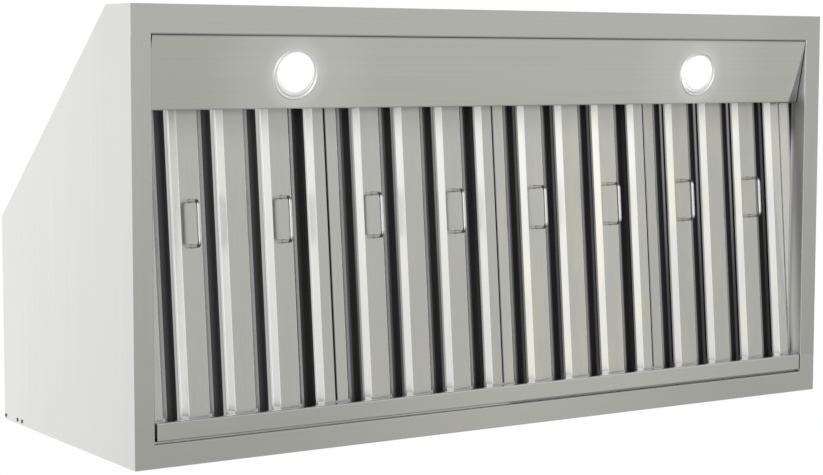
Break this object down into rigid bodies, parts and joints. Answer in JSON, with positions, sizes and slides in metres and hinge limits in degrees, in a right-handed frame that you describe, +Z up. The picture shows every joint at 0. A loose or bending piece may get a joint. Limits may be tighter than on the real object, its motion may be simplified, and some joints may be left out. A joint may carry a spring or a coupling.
{
  "type": "wall mount range hood",
  "caption": "Wall-hung stainless range hood with a sloped front, sloping baffle filters with rod pulls, round lamps, push buttons, grease tray, blower and a dampered duct collar.",
  "frame": {"origin": "bottom edge of the wall face, at the middle of the hood's width", "axes": "+Z up, +Y into the wall, +X to the right for someone facing the hood; the intake faces -Z and the lip faces -Y"},
  "size_m": [1.222, 0.6106, 0.5207],
  "materials": {
    "shell_steel": "fine straight brushed stainless",
    "inner_steel": "plain galvanised",
    "bright_steel": "smooth bright steel",
    "filter_steel": "satin stainless",
    "pull_steel": "polished stainless rod",
    "lamp_trim": "satin chrome",
    "lamp_glass": "frosted glass",
    "lamp_body": "cast, bead blasted",
    "motor_paint": "satin black paint",
    "control_black": "fine moulded texture",
    "button_steel": "spun steel caps"
  },
  "bodies": {
    "hood": {"left_side_panel": "shell_steel", "right_side_panel": "shell_steel", "front_canopy": "shell_steel", "top_panel": "shell_steel", "back_panel": "shell_steel", "bottom_frame": "shell_steel", "rear_ledge": "inner_steel", "light_panel": "shell_steel", "lamp_left_bezel": "lamp_trim", "lamp_left_lens": "lamp_glass", "lamp_left_module": "lamp_body", "lamp_right_bezel": "lamp_trim", "lamp_right_lens": "lamp_glass", "lamp_right_module": "lamp_body", "scroll_housing": "inner_steel", "inlet_ring_left": "inner_steel", "inlet_ring_right": "inner_steel", "motor": "motor_paint", "motor_spider": "inner_steel", "outlet_transition": "inner_steel", "duct_collar": "inner_steel", "damper_rod": "bright_steel", "control_fascia": "control_black", "switch_block": "control_black", "junction_box": "inner_steel", "junction_box_lid": "inner_steel", "cable_bushing": "control_black", "lamp_driver": "control_black", "left_side_rivets": "bright_steel", "right_side_rivets": "bright_steel", "collar_screws": "bright_steel"},
    "filter_1": {"filter_1_frame": "filter_steel", "filter_1_front_baffles": "filter_steel", "filter_1_rear_baffles": "filter_steel", "filter_1_pulls": "pull_steel"},
    "filter_2": {"filter_2_frame": "filter_steel", "filter_2_front_baffles": "filter_steel", "filter_2_rear_baffles": "filter_steel", "filter_2_pulls": "pull_steel"},
    "filter_3": {"filter_3_frame": "filter_steel", "filter_3_front_baffles": "filter_steel", "filter_3_rear_baffles": "filter_steel", "filter_3_pulls": "pull_steel"},
    "filter_4": {"filter_4_frame": "filter_steel", "filter_4_front_baffles": "filter_steel", "filter_4_rear_baffles": "filter_steel", "filter_4_pulls": "pull_steel"},
    "grease_tray": {"grease_tray": "shell_steel"},
    "blower_rotor": {"blower_wheel": "inner_steel", "wheel_shaft": "bright_steel"},
    "damper_flap_front": {"damper_flap_front": "inner_steel"},
    "damper_flap_rear": {"damper_flap_rear": "inner_steel"},
    "button_1": {"button_1": "button_steel"},
    "button_2": {"button_2": "button_steel"},
    "button_3": {"button_3": "button_steel"},
    "button_4": {"button_4": "button_steel"},
    "button_5": {"button_5": "button_steel"}
  },
  "joints": [
    {"name": "filter_1_slide", "type": "slide", "parent": "hood", "child": "filter_1", "axis": [0, -0.9964, 0.0845], "range_m": [0, 0.022]},
    {"name": "filter_2_slide", "type": "slide", "parent": "hood", "child": "filter_2", "axis": [0, -0.9964, 0.0845], "range_m": [0, 0.022]},
    {"name": "filter_3_slide", "type": "slide", "parent": "hood", "child": "filter_3", "axis": [0, -0.9964, 0.0845], "range_m": [0, 0.022]},
    {"name": "filter_4_slide", "type": "slide", "parent": "hood", "child": "filter_4", "axis": [0, -0.9964, 0.0845], "range_m": [0, 0.022]},
    {"name": "grease_tray_lift", "type": "slide", "parent": "hood", "child": "grease_tray", "axis": [0, 0, 1], "range_m": [0, 0.006]},
    {"name": "blower_spin", "type": "hinge", "parent": "hood", "child": "blower_rotor", "pos_m": [0, -0.2639, 0.264], "axis": [1, 0, 0], "continuous": true},
    {"name": "damper_flap_front_swing", "type": "hinge", "parent": "hood", "child": "damper_flap_front", "pos_m": [0, -0.1524, 0.4832], "axis": [-1, 0, 0], "range_deg": [0, 75]},
    {"name": "damper_flap_rear_swing", "type": "hinge", "parent": "hood", "child": "damper_flap_rear", "pos_m": [0, -0.1524, 0.4832], "axis": [1, 0, 0], "range_deg": [0, 75]},
    {"name": "button_1_press", "type": "slide", "parent": "hood", "child": "button_1", "axis": [0, 1, 0], "range_m": [0, 0.0015], "stiffness_N_per_m": 900, "springref_m": -0.001},
    {"name": "button_2_press", "type": "slide", "parent": "hood", "child": "button_2", "axis": [0, 1, 0], "range_m": [0, 0.0015], "stiffness_N_per_m": 900, "springref_m": -0.001},
    {"name": "button_3_press", "type": "slide", "parent": "hood", "child": "button_3", "axis": [0, 1, 0], "range_m": [0, 0.0015], "stiffness_N_per_m": 900, "springref_m": -0.001},
    {"name": "button_4_press", "type": "slide", "parent": "hood", "child": "button_4", "axis": [0, 1, 0], "range_m": [0, 0.0015], "stiffness_N_per_m": 900, "springref_m": -0.001},
    {"name": "button_5_press", "type": "slide", "parent": "hood", "child": "button_5", "axis": [0, 1, 0], "range_m": [0, 0.0015], "stiffness_N_per_m": 900, "springref_m": -0.001}
  ]
}
